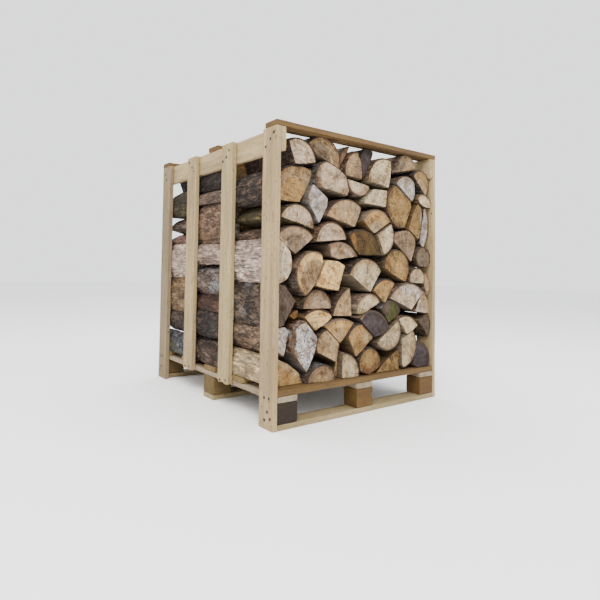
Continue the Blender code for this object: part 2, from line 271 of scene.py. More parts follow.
def make_piece(name, grids, materials, nodes, sharp=40.0):
    """One object from several closed grids, with the values that their points carry by name."""
    offsets = np.cumsum([0] + [len(grid["points"]) for grid in grids[:-1]])
    points = np.concatenate([grid["points"] for grid in grids])
    quads = np.concatenate([grid["quads"] + start for grid, start in zip(grids, offsets)])
    fans = np.concatenate([grid["fans"] + start for grid, start in zip(grids, offsets)])
    mesh = bpy.data.meshes.new(name)
    mesh.vertices.add(len(points))
    mesh.vertices.foreach_set("co", points.astype(np.float32).ravel())
    corners = np.concatenate((quads.ravel(), fans.ravel()))
    mesh.loops.add(len(corners))
    mesh.loops.foreach_set("vertex_index", corners.astype(np.int32))
    starts = np.concatenate((4 * np.arange(len(quads)), quads.size + 3 * np.arange(len(fans))))
    mesh.polygons.add(len(starts))
    mesh.polygons.foreach_set("loop_start", starts.astype(np.int32))
    kinds = [grid["quad_materials"] for grid in grids] + [grid["fan_materials"] for grid in grids]
    mesh.polygons.foreach_set("material_index", np.concatenate(kinds).astype(np.int32))
    mesh.update(calc_edges=True)
    for key in grids[0]["values"]:
        values = np.concatenate([grid["values"][key] for grid in grids]).astype(np.float32)
        kind = {1: "FLOAT", 3: "FLOAT_VECTOR", 4: "FLOAT_COLOR"}[values.shape[1]]
        field = {1: "value", 3: "vector", 4: "color"}[values.shape[1]]
        mesh.attributes.new(key, kind, "POINT").data.foreach_set(field, values.ravel())
    mesh.shade_smooth()
    mesh.set_sharp_from_angle(angle=math.radians(sharp))
    for material in materials:
        mesh.materials.append(material)
    piece = bpy.data.objects.new(name, mesh)
    bpy.context.scene.collection.objects.link(piece)
    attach(piece, "root")
    if nodes:
        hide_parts(*nodes)
    return piece


def rounded_rectangle(width, thick, radius, around=40):
    """Points around a rectangle with round corners, evenly spaced along its outline: each is
    found by its distance along the straight sides and the quarter circles between them."""
    flat_w, flat_t, curve = width - 2 * radius, thick - 2 * radius, radius * math.pi / 2
    lengths = np.array((flat_t, curve, flat_w, curve, flat_t, curve, flat_w, curve))
    marks = np.concatenate(((0.0,), np.cumsum(lengths)))
    share = (np.arange(around) + 0.5) / around
    dense = np.interp(share, np.linspace(0, 1, 9), marks)
    part = np.clip(np.searchsorted(marks, dense, side="right") - 1, 0, 7)
    along = (dense - marks[part]) / lengths[part]
    turn = (part // 2) * (math.pi / 2)
    corner = part % 2 == 1
    angle = np.where(corner, turn + along * math.pi / 2, turn)
    half = np.where(part // 2 % 2 == 0, flat_t, flat_w) / 2
    reach = np.where(part // 2 % 2 == 0, flat_w, flat_t) / 2
    slide = np.where(corner, half, -half + 2 * half * along)
    outward, sideways = np.exp(1j * turn), 1j * np.exp(1j * turn)
    middle = outward * reach + sideways * slide
    return middle + radius * np.exp(1j * angle)


def sawn_board(node, tone, seed, rough_foot):
    """A board in its node's place: rounded-rectangle sections carried along its length.

    The sections' sides wave by a fraction of a millimetre, their corners are worn by up to two
    more where noise is high, and a rough foot is torn up or down by that much from fibre to fibre.
    """
    low, high = (np.array(corner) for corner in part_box(node))
    size = high - low
    along = int(np.argmax(size))
    across, thick = sorted({0, 1, 2} - {along}, key=lambda axis: -size[axis])
    length, width, depth = size[along], size[across], size[thick]
    section = rounded_rectangle(width, depth, EDGE_ROUND)
    count = max(9, round(length / 0.022))
    stations = np.concatenate((
        (0.0,) * 4, (EDGE_ROUND,), np.linspace(0.008, length - 0.008, count),
        (length - EDGE_ROUND,), (length,) * 4))
    scale = np.ones(len(stations))
    scale[:4], scale[-4:] = (0.25, 0.6, 0.85, 0.975), (0.975, 0.85, 0.6, 0.25)
    local = np.zeros((len(stations), len(section), 3))
    local[..., 0] = stations[:, None]
    local[..., 1] = section.real * scale[:, None]
    local[..., 2] = section.imag * scale[:, None]
    spread = np.abs(local[..., 1:] / (width / 2, depth / 2))
    cornered = np.clip((spread.min(-1) - 0.72) / 0.28, 0, 1)
    worn = np.clip(lattice_noise(local, (0.09, 0.03, 0.03), seed) * 1.6 - 0.2, 0, 1)
    inward = lattice_noise(local, (0.14, 0.05, 0.05), seed + 3) * BOARD_WAVE
    inward += cornered * (0.0006 + 0.0022 * worn) + 0.0002
    inward += 0.0002 * lattice_noise(local, (0.011, 0.011, 0.011), seed + 5)
    pull = inward[..., None] * np.sign(local[..., 1:]) * (spread > 0.9)
    local[..., 1:] -= np.where(np.abs(local[..., 1:]) > 0.002, pull, 0)
    edge = scale[:, None] * np.ones(len(section))
    tear = lattice_noise(local, (10.0, 0.007, 0.010), seed + 9)
    tear = np.abs(tear) + 0.5 * np.abs(lattice_noise(local, (10.0, 0.003, 0.004), seed + 11))
    near_foot = np.clip(1 - local[..., 0] / 0.02, 0, 1)
    local[..., 0] += near_foot * rough_foot * tear * edge
    flip = np.linalg.det(np.eye(3)[[along, across, thick]]) < 0
    board = closed_grid(
        local[:, ::-1] if flip else local, local[0].mean(0), local[-1].mean(0), 3)
    points = board["points"]
    world = np.zeros_like(points)
    world[:, along] = points[:, 0] + low[along]
    world[:, across] = points[:, 1] + (low + high)[across] / 2
    world[:, thick] = points[:, 2] + (low + high)[thick] / 2
    rng = np.random.default_rng(seed)
    shift = rng.uniform(0, 30, 3)
    shade = np.array(tone) * np.append(rng.uniform(0.9, 1.08) * rng.uniform(0.98, 1.02, 3), 1)
    board["points"] = world
    board["values"] = {"grain": points + shift, "tone": np.tile(shade, (len(points), 1))}
    return board


def board_faces():
    """Sawn softwood along the grain: streaks over twenty times as long as wide, fine fibres,
    dark knots in some cells, grey and dirty patches, specks and a relief of fibres and saw
    lines."""
    material, start = new_material("sawn board")
    grain = start.carried("grain", "Vector")
    tone = start.carried("tone")
    cell = {"Vector": grain * (3.4, 13.0, 13.0), "Scale": 1.0}
    knot_at = start.node("ShaderNodeTexVoronoi", {}, cell, "Distance")
    some = start.node("ShaderNodeTexVoronoi", {}, cell, "Color").parts()[0].step(0.62, 0.66)
    knot = knot_at.step(0.17, 0.10) * some
    bent = grain + (0.0, 0.02, 0.02) * (knot_at.step(0.5, 0.1) * some)
    streak = bent.cloud((2.6, 62.0, 62.0), 5.0, 0.62).step(0.30, 0.70)
    fibre = bent.cloud((22.0, 520.0, 520.0), 2.0).step(0.28, 0.72)
    patch = grain.cloud((2.4, 10.0, 10.0), 4.0, 0.6).step(0.32, 0.68)
    grey = grain.cloud((3.1, 16.0, 16.0), 4.0, 0.7).step(0.50, 0.72)
    body = tone * (0.50 + 0.30 * streak + 0.20 * fibre + 0.26 * patch)
    warm = tone * (0.90, 0.70, 0.44)
    body = body.mixed(warm, (1.0 - streak) * 0.34)
    body = body.mixed(body * (0.84, 0.88, 0.96), grey * 0.8)
    dirt = (grain + (5.0, 1.0, 2.0)).cloud((9.0, 34.0, 34.0), 5.0, 0.7).step(0.56, 0.68)
    body = body.mixed(tone * (0.50, 0.44, 0.36), dirt * 0.55)
    body = body.mixed(colour(86, 56, 34), knot * 0.85)
    specks = grain.cloud((60.0, 120.0, 120.0), 3.0, 0.6).step(0.62, 0.68)
    body = body.mixed(colour(84, 66, 50), specks * 0.7)
    saw = (grain.parts()[0] * 1300.0 + grain.cloud(9.0, 1.0) * 20.0).sine()
    height = streak * 0.35 + fibre * 0.25 + saw * 0.06 - knot * 0.25 - specks * 0.1
    return finished(material, {
        "Base Color": body, "Normal": height.bumped(0.55, 0.0014),
        "Roughness": 0.74 + 0.16 * streak, "Specular IOR Level": 0.3})


def board_ends():
    """Sawn end grain: shallow bows of year rings about a heart outside the board, a rough saw
    cut and dirt in patches."""
    material, start = new_material("board end")
    grain = start.carried("grain", "Vector")
    tone = start.carried("tone")
    across, thick = grain.parts()[1:]
    bow = (across * across * 0.9 + thick * 2.0 + grain.cloud(30.0, 2.0) * 0.012) * 900.0
    ring = bow.sine() * 0.5 + 0.5
    rough = grain.cloud(240.0, 4.0, 0.65).step(0.3, 0.7)
    dirt = grain.cloud(38.0, 3.0).step(0.40, 0.66)
    body = tone * (0.70 + 0.34 * rough + 0.18 * ring)
    body = body.mixed(tone * (0.5, 0.46, 0.42), dirt * 0.55)
    return finished(material, {
        "Base Color": body, "Normal": (rough + ring * 0.3).bumped(0.6, 0.0012),
        "Roughness": 0.86, "Specular IOR Level": 0.25})


board_looks = [board_faces(), board_ends()]
crate_nodes = sorted(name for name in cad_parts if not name.startswith("log"))
for seed, node in enumerate(crate_nodes):
    family = node.split("_")[0]
    tone = colour(*BOARD_TONES.get(node, BOARD_TONES[family]))
    board = sawn_board(node, tone, 40 + seed * 13, FOOT_TEAR if family == "slat" else 0.0)
    make_piece("wood_" + node, [board], board_looks, [node])


# Nail heads: round wire nails, hammered just proud of the boards, in rows through the posts and
# slats and near the ends of the top boards. SIDE_NAILS holds y and z, the same on both sides,
# and TOP_NAILS holds y, in centimetres.
NAIL_HEAD, TOP_NAIL_X = 0.0058, 0.442
SIDE_NAILS = (
    (-49.5, 109.5), (-47.5, 107.5), (-44.5, 105.0), (-17.5, 108.8), (-15.5, 106.2),
    (-12.5, 104.8), (20.0, 109.8), (17.0, 107.0), (15.0, 104.8), (48.5, 108.0), (47.0, 105.0),
    (-49.0, 11.5), (-46.0, 11.3), (-48.0, 6.5), (-49.8, 4.3), (-46.3, 3.3), (49.0, 11.2),
    (46.4, 11.6), (48.0, 6.0), (49.6, 3.6), (-18.0, 11.8), (-13.4, 11.2), (15.4, 11.5),
    (19.6, 11.1),
)
TOP_NAILS = (-49.0, -46.2, -2.6, 2.4, 46.0, 49.2)


def nail_head(place, outward, seed):
    """A shallow dome on a short rim: rings of a circle whose height falls with the square of
    the radius, standing on the wood along its outward direction."""
    rng = np.random.default_rng(seed)
    radius = NAIL_HEAD * rng.uniform(0.9, 1.1)
    place, outward = np.array(place, float), np.array(outward, float)
    angle = np.linspace(0, 2 * math.pi, 14, endpoint=False)
    share = np.array((0.45, 0.8, 1.0, 1.0))
    height = np.array((0.0011, 0.0009, 0.0005, -0.0025))
    side = np.roll(outward, -1)
    other = np.cross(outward, side)
    around = np.cos(angle)[:, None] * side + np.sin(angle)[:, None] * other
    rings = share[:, None, None] * radius * around + height[:, None, None] * outward
    rings = (rings + place)[::-1, ::-1]
    return closed_grid(rings, place - 0.0025 * outward, place + 0.0012 * outward, 0)


def nail_steel():
    """Dull zinc-grey steel, spotted with brown rust."""
    material, start = new_material("nail steel")
    place = start.node("ShaderNodeTexCoord", {}, {}, "Object")
    rust = place.cloud(700.0, 3.0).step(0.46, 0.62)
    plain = start.node("ShaderNodeMix", {"data_type": "RGBA"}, {
        "Factor": rust, 6: colour(66, 62, 62), 7: colour(56, 42, 34)}, 2)
    return finished(material, {
        "Base Color": plain, "Metallic": 0.45 - 0.4 * rust, "Roughness": 0.45 + 0.35 * rust})


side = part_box("post_left_front")[0].x
nails = []
for number, (y, z) in enumerate(SIDE_NAILS):
    nails.append(nail_head((side, y / 100, z / 100), (-1, 0, 0), number))
    nails.append(nail_head((-side, y / 100, z / 100), (1, 0, 0), 60 + number))
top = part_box("top_board_front")[1].z
for number, y in enumerate(TOP_NAILS):
    for hand in (-1, 1):
        nails.append(nail_head((hand * TOP_NAIL_X, y / 100, top), (0, 0, 1), 150 + number))
make_piece("nail_heads", nails, [nail_steel()], [], 60.0)


# The split logs: beech, birch, oak and other hardwood, sawn to a third of a metre and split into
# halves, quarters and wedges, stacked in three rows one behind the other. Each lies on those
# below it by its own weight, bark side or split side up.
CORNER_CRISPNESS, CUT_EDGE, ROW_WIDTH = 80, 0.0012, 0.9052
STACK_HALF, STACK_FOOT, STACK_TOP = 0.4524, 0.1444, 1.1188
# A log may be fuller than its solid by a few millimetres, swells between its ends, more where
# other logs hide it, tapers a little, and is pressed back where neighbours touch.
FULLER, SWELL, HIDDEN_SWELL, TAPER, PRESSED = 0.004, 0.0037, 0.0067, 0.004, 0.0008
# Where the cut ends of each row stand, at its left end and at its right end.
ROW_FACES = {"front": (-0.465, -0.509), "middle": (-0.133, -0.155), "back": (0.195, 0.185)}
ROW_BACKS = {"front": (-0.146, -0.180), "middle": (0.182, 0.168), "back": (0.508, 0.512)}
FRONT_ONLY = (3, 7)
# The split logs of one row, in centimetres: the tone of the cut end, how far the end stands
# ahead of its row, the corners of the end seen from the front (x to the right, z up,
# counter-clockwise), and the rise of the round bark side, which runs from the last corner
# back to the first.
LOGS = (
    ("pink", 0.8, ((-39.2, 108.4), (-35.6, 99.2), (-24.9, 101.4)), 4.6),
    ("tan", 0.2, ((-29.2, 108.6), (-24.8, 104.8), (-19.5, 102.9), (-12.3, 100.3)), 7.9),
    ("brown", -2.0, ((-10.6, 102.0), (-6.0, 108.7), (-4.6, 111.4)), 2.6),
    ("tan", 0.3, ((-9.8, 98.2), (0.4, 97.7), (0.2, 104.0), (-2.2, 109.2)), 3.0),
    ("slate", -0.8, ((1.4, 98.2), (5.8, 104.7), (8.3, 110.4), (6.8, 111.4), (2.6, 111.2)), 2.0),
    ("cream", 0.6, ((2.6, 97.2), (15.8, 95.4), (17.2, 100.5), (17.8, 107.6)), 4.6),
    ("grey", -3.0, ((18.4, 101.5), (22.4, 102.8), (23.6, 109.0)), 1.5),
    ("tan", 0.0, ((21.6, 103.1), (34.2, 106.0)), 7.0),
    ("gold", 0.0, ((31.6, 103.0), (42.0, 94.0)), 7.4),
    ("white", 0.2, ((20.6, 98.2), (32.6, 90.8), (34.2, 94.0), (33.6, 99.8)), 3.0),
    ("ochre", 0.0, ((27.8, 78.4), (30.6, 84.6), (32.4, 88.0), (31.2, 90.6), (21.0, 97.2)), 9.6),
    ("ochre", -0.4, ((29.5, 77.8), (36.5, 73.4), (38.4, 77.1), (40.0, 83.5), (39.6, 88.2),
        (37.0, 90.2)), 0.6),
    ("cream", 0.2, ((34.4, 92.6), (38.0, 89.3), (42.0, 88.6), (45.1, 88.8), (45.1, 91.0)), 3.0),
    ("dove", -0.8, ((42.2, 88.2), (40.4, 88.0), (38.8, 77.2), (38.2, 72.0), (41.0, 68.6)), 2.6),
    ("tan", -0.4, ((-43.6, 85.0), (-31.4, 85.0), (-27.6, 91.4), (-25.0, 97.2), (-26.0, 98.6),
        (-31.0, 99.4), (-36.0, 99.2)), 4.2),
    ("pink", 1.0, ((-25.5, 92.0), (-20.0, 91.2), (-9.2, 89.4), (-8.0, 91.5), (-9.6, 98.0),
        (-19.2, 103.0)), 3.0),
    ("pink", -0.2, ((6.0, 93.6), (5.6, 95.2), (-8.4, 96.8)), 5.0),
    ("cream", 0.5, ((1.0, 87.4), (14.2, 86.7), (15.4, 94.0), (6.4, 94.0), (3.2, 91.0)), 0.4),
    ("dove", 0.6, ((-29.2, 85.6), (-22.8, 76.8), (-18.6, 84.5), (-18.2, 87.6), (-26.4, 92.4)), 0.8),
    ("pink", 0.7, ((-42.6, 78.6), (-25.6, 74.8)), 7.4),
    ("tan", 0.0, ((-20.4, 80.6), (-3.2, 77.0), (1.4, 85.4)), 5.2),
    ("gold", 0.2, ((0.8, 79.6), (7.6, 74.6), (18.2, 80.6)), 5.0),
    ("cream", 0.6, ((18.2, 79.4), (9.2, 73.8), (13.4, 65.4)), 3.6),
    ("mottled", -0.2, ((-44.0, 70.6), (-34.2, 64.8), (-25.2, 71.6)), 4.6),
    ("pink", 0.5, ((-25.0, 69.8), (-8.0, 71.4)), 7.6),
    ("olive", 0.0, ((-7.0, 73.4), (-1.6, 65.2), (12.4, 65.4)), 6.2),
    ("brown", -0.2, ((19.2, 75.0), (20.0, 71.8), (32.4, 63.0), (35.0, 70.0), (34.4, 77.0)), 0.9),
    ("grey", -0.4, ((34.4, 65.0), (37.0, 61.0), (43.4, 60.6), (44.9, 62.6)), 6.2),
    ("mottled", -0.3, ((-17.2, 68.8), (-16.4, 64.2), (-12.0, 63.2), (-0.8, 64.4)), 3.2),
    ("birch", 0.4, ((-42.0, 52.8), (-38.3, 54.9), (-36.2, 57.9), (-35.8, 61.5), (-36.6, 65.4),
        (-39.5, 68.4), (-42.2, 70.0)), 2.8),
    ("honey", 0.2, ((-29.2, 48.2), (-22.4, 54.6), (-19.6, 60.0), (-20.6, 65.0)), 9.4),
    ("honey", 0.0, ((-24.0, 52.2), (-18.4, 51.0), (-11.8, 50.2), (-8.4, 60.4), (-12.0, 62.2),
        (-18.4, 62.6)), 0.6),
    ("cream", 0.6, ((-7.6, 57.0), (1.6, 51.4), (4.8, 49.4), (12.2, 58.8)), 5.8),
    ("ochre", 0.0, ((13.4, 60.2), (19.0, 57.0), (27.8, 53.6), (29.6, 57.0)), 9.6),
    ("pale", 0.3, ((29.4, 53.4), (39.8, 53.0), (40.0, 57.2)), 4.8),
    ("tan", -0.4, ((41.0, 57.8), (40.6, 51.4), (42.8, 47.4)), 3.0),
    ("gold", 0.3, ((6.6, 50.6), (14.2, 44.4), (20.8, 53.2)), 3.0),
    ("pink", 0.2, ((17.2, 46.8), (31.6, 41.0), (39.6, 49.2)), 5.2),
    ("tan", -0.2, ((34.2, 40.0), (44.2, 39.0), (44.4, 43.6), (40.0, 49.4)), 0.4),
    ("umber", -0.3, ((-43.6, 36.4), (-39.6, 36.4), (-33.0, 46.4), (-38.0, 52.3), (-42.0, 53.2)), 1.9),
    ("brown", -0.4, ((-30.8, 43.4), (-14.8, 43.0)), 7.4),
    ("tan", 0.0, ((-15.6, 40.0), (-3.6, 39.6), (-4.8, 46.0), (-5.0, 51.2), (-7.2, 51.0)), 1.6),
    ("cream", 0.4, ((-2.8, 42.0), (-1.8, 40.4), (0.6, 40.0), (11.4, 45.0)), 5.0),
    ("umber", -0.3, ((12.6, 42.0), (17.0, 35.8), (19.4, 35.8), (25.0, 40.2)), 4.6),
    ("slate", 0.4, ((-1.6, 38.6), (3.6, 33.0), (7.6, 30.4), (14.4, 31.0), (17.0, 34.0)), 5.0),
    ("honey", 0.4, ((-30.4, 40.6), (-22.8, 33.2), (-15.8, 39.6), (-17.0, 41.4)), 2.0),
    ("lichen", 0.9, ((-35.0, 25.6), (-28.6, 18.4), (-22.4, 30.6), (-29.6, 38.6)), 4.2),
    ("white", -0.2, ((-39.2, 25.4), (-36.5, 35.0), (-38.5, 36.6), (-42.6, 36.8)), 3.2),
    ("tan", 0.3, ((-24.0, 26.4), (-12.6, 21.0), (-11.2, 27.4)), 8.0),
    ("gold", 0.0, ((-20.0, 36.2), (-11.0, 28.6), (-2.8, 36.6)), 2.2),
    ("gold", 0.0, ((-6.8, 31.4), (-2.2, 22.4), (7.8, 29.8)), 5.6),
    ("pale", 0.6, ((22.8, 36.4), (9.0, 27.6)), 8.2),
    ("cream", 0.4, ((22.4, 37.6), (28.4, 29.6), (35.6, 34.0)), 2.6),
    ("pale", 0.3, ((32.4, 31.4), (24.2, 28.2), (25.2, 16.4), (26.4, 15.2)), 5.2),
    ("umber", -0.4, ((43.4, 38.6), (36.4, 36.0), (43.6, 28.0)), 1.6),
    ("slate", -0.4, ((35.4, 26.2), (33.2, 22.0), (33.4, 16.0), (36.0, 14.5), (43.6, 14.5)), 4.4),
    ("gold", 0.0, ((-44.2, 14.5), (-29.6, 14.5), (-31.5, 18.6), (-36.5, 22.2), (-42.0, 24.8)), 1.6),
    ("brown", 1.5, ((-29.2, 14.5), (-14.3, 14.5)), 6.8),
    ("pale", 1.2, ((-10.8, 24.6), (-11.0, 14.5), (-1.8, 14.5)), 3.4),
    ("tan", -1.5, ((-14.9, 14.5), (-11.2, 14.5), (-11.2, 24.8)), 1.2),
    ("ochre", 0.6, ((-1.2, 16.6), (4.0, 14.5), (11.4, 17.4)), 8.8),
    ("ochre", -0.6, ((10.0, 14.5), (24.2, 14.5), (24.0, 23.4)), 0.6),
    ("rust", -2.0, ((-35.0, 40.8), (-33.0, 39.2), (-30.9, 40.4), (-31.4, 42.6)), 0.3),
)

WOOD_TONES = {
    "pink": (205, 184, 158), "cream": (210, 193, 160), "pale": (196, 178, 146),
    "tan": (184, 159, 124), "gold": (188, 156, 106), "honey": (224, 192, 138),
    "ochre": (164, 136, 90), "white": (206, 198, 188), "brown": (156, 133, 108),
    "grey": (136, 120, 102), "mottled": (184, 161, 134),
    "dove": (188, 180, 174), "birch": (209, 190, 166), "olive": (104, 85, 50),
    "moss": (92, 94, 48),
    "umber": (106, 92, 80), "slate": (88, 79, 79), "lichen": (212, 210, 208),
    "rust": (150, 112, 66), "rind": (120, 88, 60),
}
# Ends of two tones: a line's place in centimetres and the direction in degrees beyond which the
# second tone lies, or a round heart's place and its radius in centimetres.
SECOND_TONES = {
    4: (-2.5, 104.0, -20, "brown"), 6: (4.6, 100.0, 180, "tan"), 8: (26.0, 106.0, 150, "grey"),
    12: (38.4, 84.0, 0, "pale"), 11: (31.0, 92.0, 60, "pale"), 13: (35.5, 92.0, 190, "brown"),
    16: (-23.0, 96.0, 195, "brown"), 19: (-28.0, 84.0, 190, "grey"), 21: (-3.0, 84.0, 0, "mottled"),
    26: (-3.0, 72.0, 190, "rust"), 27: (33.0, 68.0, -40, "tan"), 39: (39.0, 44.0, 215, "white"),
    44: (17.0, 41.0, -30, "moss"), 45: (3.4, 41.0, 125, "mottled"), 47: (-34.2, 32.0, 180, "rind"),
    51: (2.0, 29.0, -10, "tan"), 54: (33.6, 24.0, 0, "honey"), 61: (4.0, 17.6, -75, "rind"),
    52: (14.0, 27.0, 160, "cream"), 57: (-38.0, 20.0, 60, "tan"), 38: (30.0, 48.0, 70, "white"),
}
ROUND_HEARTS = {
    2: (-24.0, 103.0, 6.6, "grey"), 15: (-35.0, 88.0, 6.6, "gold"), 24: (-34.0, 68.0, 4.6, "grey"),
    31: (-24.5, 55.0, 7.4, "brown"), 22: (9.0, 75.0, 5.4, "pale"), 34: (23.0, 60.0, 3.2, "gold"),
    41: (-22.0, 42.0, 6.0, "mottled"), 50: (-12.0, 31.0, 4.0, "tan"), 58: (-22.0, 13.0, 4.6, "tan"),
    9: (38.0, 97.0, 5.0, "tan"),
}
# Bark by the row and the log's number: its colour, how deep it is furrowed, how pale and
# papery it is, how much grey-blue lichen and how much moss grow on it.
PLAIN_BARKS = (
    (96, 80, 68, 0.8, 0.0, 0.15, 0.0), (84, 72, 62, 1.0, 0.0, 0.1, 0.2),
    (116, 100, 86, 0.4, 0.2, 0.3, 0.0), (150, 132, 116, 0.3, 0.6, 0.1, 0.0),
    (98, 84, 64, 0.7, 0.0, 0.0, 0.3), (104, 84, 68, 0.9, 0.0, 0.1, 0.0),
    (88, 80, 74, 0.6, 0.0, 0.5, 0.1),
)
BARKS = {
    "front": {
        1: (88, 74, 64, 0.7, 0.0, 0.1, 0.0), 15: (84, 72, 64, 1.0, 0.0, 0.2, 0.0),
        20: (106, 94, 68, 0.8, 0.0, 0.1, 0.55), 24: (112, 96, 82, 0.9, 0.0, 0.0, 0.0),
        30: (236, 216, 200, 0.25, 1.0, 0.1, 0.0), 40: (104, 92, 80, 1.0, 0.1, 0.4, 0.0),
        47: (122, 94, 70, 0.8, 0.0, 0.9, 0.0), 48: (138, 118, 100, 0.7, 0.2, 0.0, 0.0),
        57: (204, 184, 148, 0.4, 0.6, 0.2, 0.0),
    },
    "middle": {
        9: (64, 54, 48, 0.9, 0.0, 0.0, 0.0), 13: (122, 106, 94, 0.4, 0.2, 0.0, 0.0),
        14: (134, 112, 94, 0.5, 0.2, 0.0, 0.0), 28: (196, 174, 160, 0.3, 0.8, 0.2, 0.0),
        36: (104, 92, 84, 0.6, 0.0, 0.9, 0.0), 39: (84, 64, 54, 0.6, 0.0, 0.0, 0.0),
        55: (76, 66, 60, 1.0, 0.0, 0.1, 0.0), 56: (94, 80, 70, 0.8, 0.0, 0.1, 0.2),
    },
    "back": {
        1: (64, 54, 48, 0.8, 0.0, 0.0, 0.0), 15: (78, 70, 50, 0.9, 0.0, 0.0, 0.3),
        20: (116, 102, 92, 0.5, 0.2, 0.2, 0.0), 24: (148, 122, 110, 0.4, 0.4, 0.2, 0.0),
        30: (222, 204, 184, 0.3, 0.9, 0.1, 0.0), 40: (128, 108, 82, 0.4, 0.0, 0.0, 0.0),
        48: (80, 70, 62, 1.0, 0.0, 0.1, 0.0), 57: (98, 100, 108, 0.7, 0.0, 0.7, 0.5),
    },
}
LEFT_COLUMN = (1, 15, 20, 24, 30, 40, 48, 57)
RIGHT_COLUMN = (9, 13, 14, 28, 36, 39, 55, 56)
TOP_COURSE = (1, 2, 3, 4, 5, 6, 7, 8, 9, 10)


def keep_side(outline, point, normal):
    """The part of a convex outline, a list of complex points, behind the line through point
    with that outward normal."""
    kept = []
    for here, there in zip(outline, outline[1:] + outline[:1]):
        here_off = ((here - point) * normal.conjugate()).real
        there_off = ((there - point) * normal.conjugate()).real
        if here_off <= 0:
            kept.append(here)
        if here_off * there_off < 0:
            kept.append(here + (there - here) * here_off / (here_off - there_off))
    return kept


def log_sides(corners, rise):
    """The end's straight sides and its bark side, each a list of points with outward normals.

    The bark is the circle through the last and the first corner that bulges by rise: it is
    given by its tangents at equal turns. The heart is the circle's centre, or a point that
    deep under the bark where the circle is flat.
    """
    points = [complex(x, z) / 100 for x, z in corners]
    straight = [(here, -1j * (there - here) / abs(there - here))
                for here, there in zip(points, points[1:])]
    chord = points[0] - points[-1]
    half, rise = abs(chord) / 2, rise / 100
    radius = (half * half + rise * rise) / (2 * rise)
    outward = -1j * chord / abs(chord)
    centre = (points[0] + points[-1]) / 2 - outward * (radius - rise)
    spread = math.acos(max(-1.0, min(1.0, (radius - rise) / radius)))
    turns = outward * np.exp(1j * np.linspace(-spread, spread, 15))
    bark = [(centre + radius * turn, turn) for turn in turns]
    heart = centre + outward * (radius - min(radius, 0.14))
    return straight, bark, heart, rise > 0.012


def settled_clips():
    """For every log, the lines that part it from its neighbours.

    Where two outlines, each fuller by a few millimetres, cross, both are cut back to the line
    between the two farthest points of the shape that they share.
    """
    outlines, clips = [], [[] for log in LOGS]
    for log in LOGS:
        straight, bark = log_sides(*log[2:])[:2]
        outline = [-1 + 0j, 1 + 0j, 1 + 2j, -1 + 2j]
        for point, normal in straight + bark:
            outline = keep_side(outline, point + normal * FULLER, normal)
        outlines.append(outline)
    for one in range(len(LOGS)):
        for other in range(one + 1, len(LOGS)):
            shared = outlines[one]
            points = np.array(outlines[other])
            if abs(np.mean(points) - np.mean(shared)) > 0.4:
                continue
            for here, there in zip(outlines[other], outlines[other][1:] + outlines[other][:1]):
                if abs(there - here) > 1e-9:
                    shared = keep_side(shared, here, -1j * (there - here) / abs(there - here))
                if len(shared) < 3:
                    break
            if len(shared) < 3:
                continue
            pairs = [(a, b) for a in shared for b in shared]
            start, end = max(pairs, key=lambda pair: abs(pair[0] - pair[1]))
            if abs(end - start) < 0.001:
                continue
            normal = 1j * (end - start) / abs(end - start)
            inside = (np.mean(outlines[one]) - start) * normal.conjugate()
            normal = -normal if inside.real > 0 else normal
            for cut, facing in ((one, normal), (other, -normal)):
                outlines[cut] = keep_side(outlines[cut], start, facing)
                clips[cut].append((start, facing))
    return outlines, clips


def reach_inverse(sides, middle, directions, swell):
    """One over the distance from the middle to each straight side, for every swell, side and
    direction: the direction's share of the side's normal over the side's own distance."""
    points, normals = (np.array(values) for values in zip(*sides))
    apart = ((points - middle) * normals.conjugate()).real
    share = (directions[None] * normals.conjugate()[:, None]).real
    return np.maximum(share, 0)[None] / (apart[None] + swell[:, None])[:, :, None]


def log_shape(number, directions, swell):
    """The log's reach from its middle in every direction, for every swell, and its bark.

    The reach is a soft least of the distances to the straight sides, the bark, the walls of the
    stack and the lines that part it from its neighbours: one over the sum of their inverses'
    high powers, rooted. Bark is where the bark side is the nearest of the log's own sides.
    """
    straight, bark, heart, barky = log_sides(*LOGS[number - 1][2:])
    middle = complex(np.mean(log_outlines[number - 1]))
    own = reach_inverse(straight, middle, directions, swell)
    round_side = reach_inverse(bark, middle, directions, swell).max(1, keepdims=True)
    walls = [(complex(STACK_HALF), 1), (complex(-STACK_HALF), -1), (STACK_FOOT * 1j, -1j),
             (STACK_TOP * 1j, 1j)]
    still = np.full(len(swell), -PRESSED)
    fixed = reach_inverse(log_clips[number - 1] + walls, middle, directions, still)
    every = np.concatenate((own, round_side, fixed), 1)
    most = every.max(1, keepdims=True)
    total = most[:, 0] * ((every / most) ** CORNER_CRISPNESS).sum(1) ** (1 / CORNER_CRISPNESS)
    ratio = round_side[:, 0] / own.max(1) - 1
    return middle, 1 / total, ratio if barky else np.full_like(ratio, -1.0)


